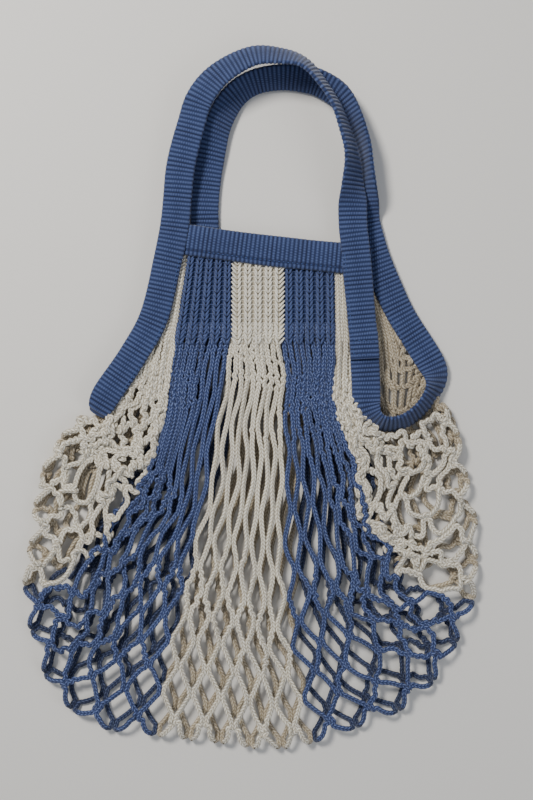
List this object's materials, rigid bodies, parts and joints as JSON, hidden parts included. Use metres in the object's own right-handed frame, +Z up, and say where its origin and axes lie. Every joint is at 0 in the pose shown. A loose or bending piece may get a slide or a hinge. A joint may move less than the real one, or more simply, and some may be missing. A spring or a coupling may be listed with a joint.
{
  "type": "net carry bag",
  "caption": "Two-tone cotton string net bag lying flat: knitted mesh pouch, ribbed mouth panels, tape-bound side openings and two tape handles that swing up for carrying.",
  "frame": {"origin": "centre of the flat bag's outline, on the surface that it lies on", "axes": "+Z up out of the surface, +Y from the bottom fold towards the mouth and handles, +X to the right seen from above"},
  "size_m": [0.3941, 0.6042, 0.0444],
  "materials": {
    "blue_tape": "ribbed cotton tape, matt with a slight sheen on the ribs",
    "net_blue": "knitted cotton cord, matt",
    "net_cream": "unbleached knitted cotton cord, matt",
    "sewing_thread": "twisted sewing thread"
  },
  "bodies": {
    "pouch": {"net_left_cream_back": "net_cream", "net_left_blue_back": "net_blue", "net_centre_cream_back": "net_cream", "net_right_blue_back": "net_blue", "net_right_cream_back": "net_cream", "fold_left_cream": "net_cream", "fold_left_blue": "net_blue", "fold_centre_cream": "net_cream", "fold_right_blue": "net_blue", "fold_right_cream": "net_cream", "net_left_cream_front": "net_cream", "net_left_blue_front": "net_blue", "net_centre_cream_front": "net_cream", "net_right_blue_front": "net_blue", "net_right_cream_front": "net_cream", "rib_left_blue_back": "net_blue", "rib_centre_cream_back": "net_cream", "rib_right_blue_back": "net_blue", "mouth_band_back": "blue_tape", "side_tape_left_back": "blue_tape", "side_tape_right_back": "blue_tape", "tape_turn_left": "blue_tape", "tape_turn_right": "blue_tape", "stitching_band_back": "sewing_thread", "stitching_left_back": "sewing_thread", "stitching_right_back": "sewing_thread"},
    "front_flap": {"net_left_cream_mouth": "net_cream", "net_left_blue_mouth": "net_blue", "net_centre_cream_mouth": "net_cream", "net_right_blue_mouth": "net_blue", "net_right_cream_mouth": "net_cream", "rib_left_blue_front": "net_blue", "rib_centre_cream_front": "net_cream", "rib_right_blue_front": "net_blue", "mouth_band_front": "blue_tape", "side_tape_left_front": "blue_tape", "side_tape_right_front": "blue_tape", "tape_lap": "blue_tape", "stitching_band_front": "sewing_thread", "stitching_left_front": "sewing_thread", "stitching_right_front": "sewing_thread", "stitching_lap": "sewing_thread"},
    "front_handle": {"handle_front": "blue_tape"},
    "back_handle": {"handle_back": "blue_tape"}
  },
  "joints": [
    {"name": "mouth_open", "type": "hinge", "parent": "pouch", "child": "front_flap", "pos_m": [0, 0, 0.0165], "axis": [1, 0, 0], "range_deg": [0, 45]},
    {"name": "front_handle_swing", "type": "hinge", "parent": "front_flap", "child": "front_handle", "pos_m": [0, 0.154, 0.0165], "axis": [1, 0, 0], "range_deg": [0, 90]},
    {"name": "back_handle_swing", "type": "hinge", "parent": "pouch", "child": "back_handle", "pos_m": [0, 0.164, 0.004], "axis": [1, 0, 0], "range_deg": [0, 76.5]}
  ],
  "couplings": [
    {"joint": "back_handle_swing", "follows": "front_handle_swing", "ratio": 0.85}
  ]
}
